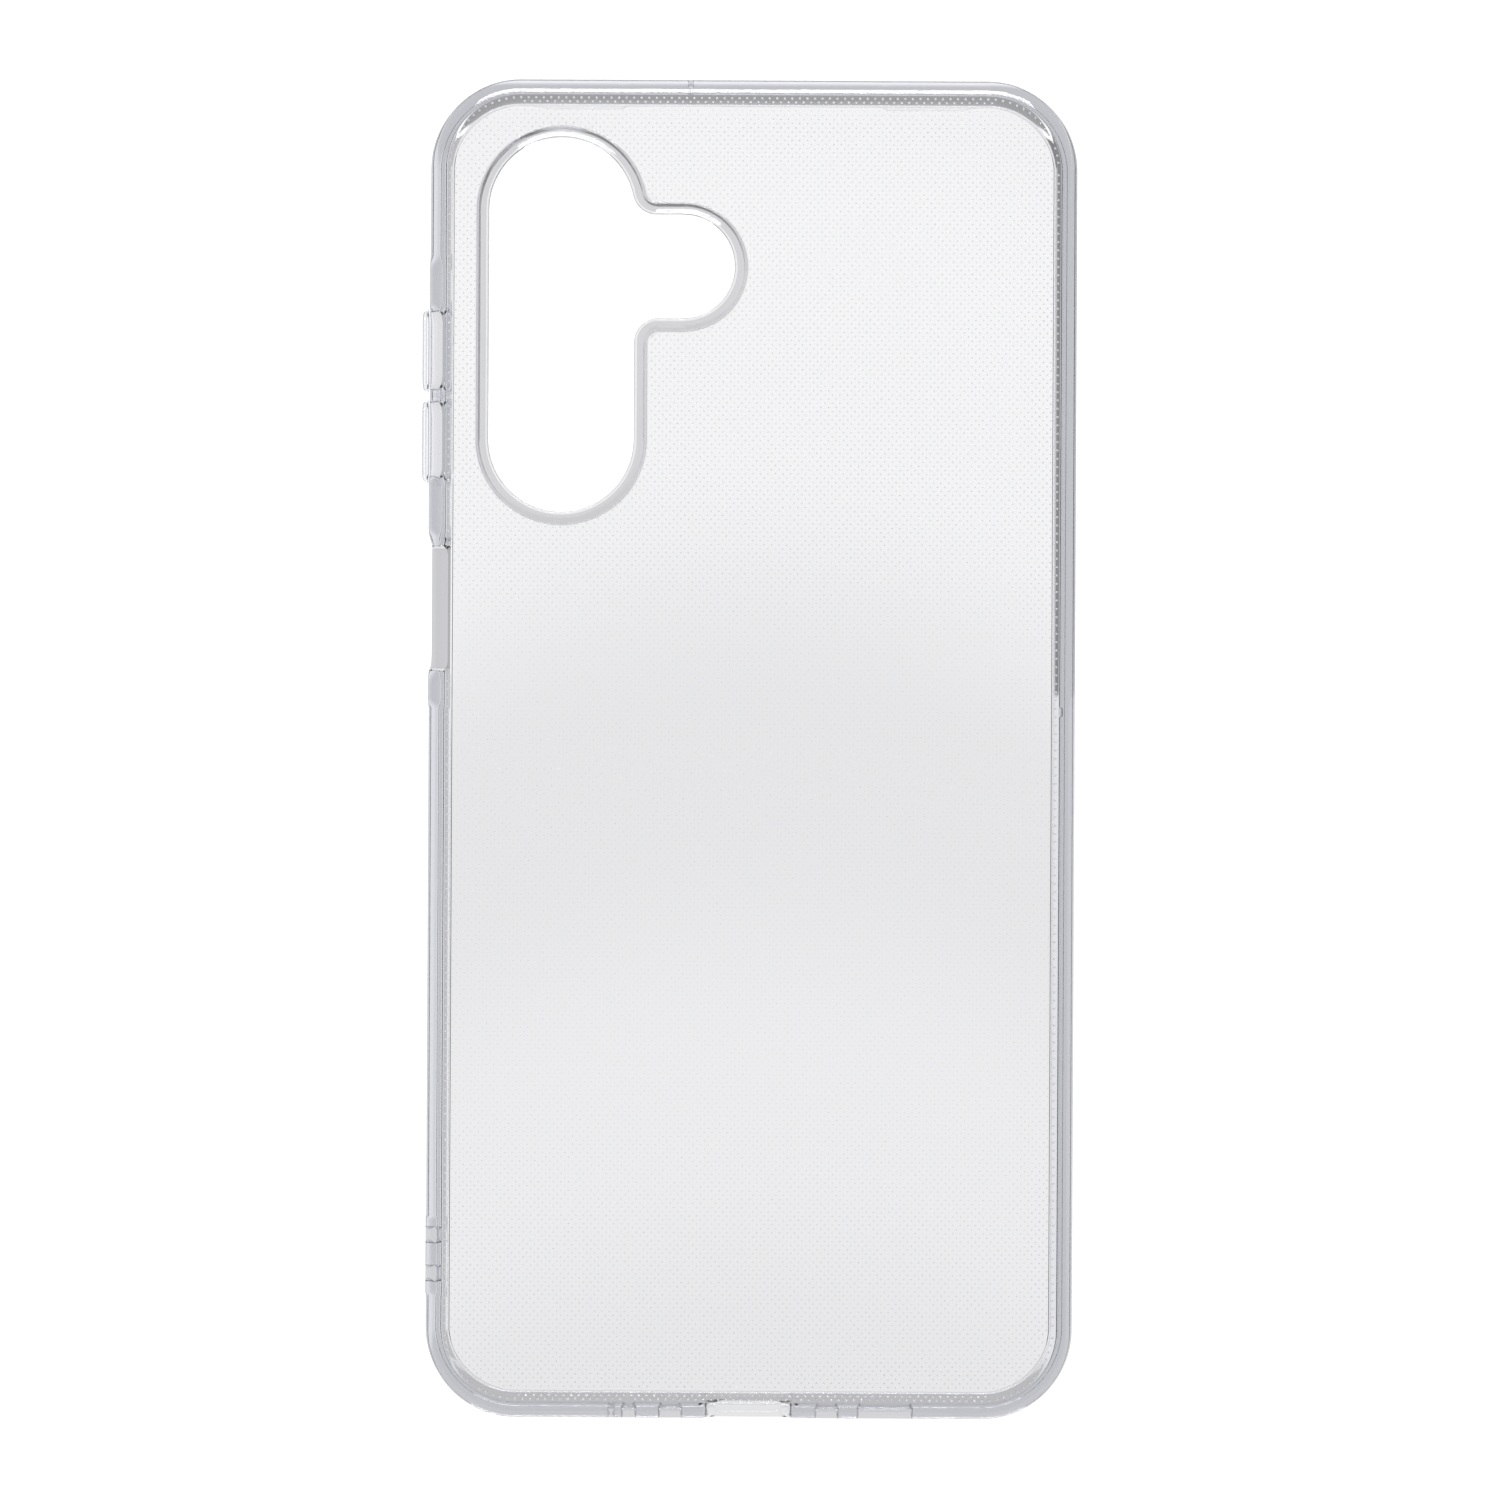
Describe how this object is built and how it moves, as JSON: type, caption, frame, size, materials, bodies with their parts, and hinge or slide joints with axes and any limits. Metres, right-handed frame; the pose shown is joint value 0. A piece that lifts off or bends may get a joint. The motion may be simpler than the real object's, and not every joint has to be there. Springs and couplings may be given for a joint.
{
  "type": "phone case",
  "caption": "Clear flexible phone case with a raised ring round the camera window, pressable volume pads and an open side-key window.",
  "frame": {"origin": "on the centre lines of the phone that the case holds, in the plane of the screen lip's lowest edge, which is what the case stands on when it lies face down", "axes": "+X to the right seen from behind, so the volume keys are on the -X side; +Y towards the top of the phone; +Z from the screen side to the back"},
  "size_m": [0.0819, 0.1674, 0.0108],
  "materials": {
    "clear_tpu": "clear, glossy, soft thermoplastic urethane with a faint cool tint",
    "clear_tpu_pad": "clear, glossy, soft thermoplastic urethane with a faint cool tint"
  },
  "bodies": {
    "shell": {"back_panel": "clear_tpu", "camera_ring": "clear_tpu", "top_wall": "clear_tpu", "right_wall_upper": "clear_tpu", "right_wall_lower": "clear_tpu", "bottom_wall_left": "clear_tpu", "bottom_wall_right": "clear_tpu", "usb_port_frame": "clear_tpu", "left_wall_upper": "clear_tpu", "key_frame": "clear_tpu", "key_web": "clear_tpu", "side_key_bridge": "clear_tpu", "left_wall_lower": "clear_tpu", "strap_anchor": "clear_tpu", "corner_top_left": "clear_tpu", "corner_top_right": "clear_tpu", "corner_bottom_left": "clear_tpu", "corner_bottom_right": "clear_tpu", "lip_top": "clear_tpu", "lip_right": "clear_tpu", "lip_bottom": "clear_tpu", "lip_left_upper": "clear_tpu", "lip_left_lower": "clear_tpu"},
    "volume_up": {"volume_up_pad": "clear_tpu_pad"},
    "volume_down": {"volume_down_pad": "clear_tpu_pad"}
  },
  "joints": [
    {"name": "volume_up_press", "type": "slide", "parent": "shell", "child": "volume_up", "axis": [1, 0, 0], "range_m": [0, 0.00035], "stiffness_N_per_m": 4000},
    {"name": "volume_down_press", "type": "slide", "parent": "shell", "child": "volume_down", "axis": [1, 0, 0], "range_m": [0, 0.00035], "stiffness_N_per_m": 4000}
  ]
}
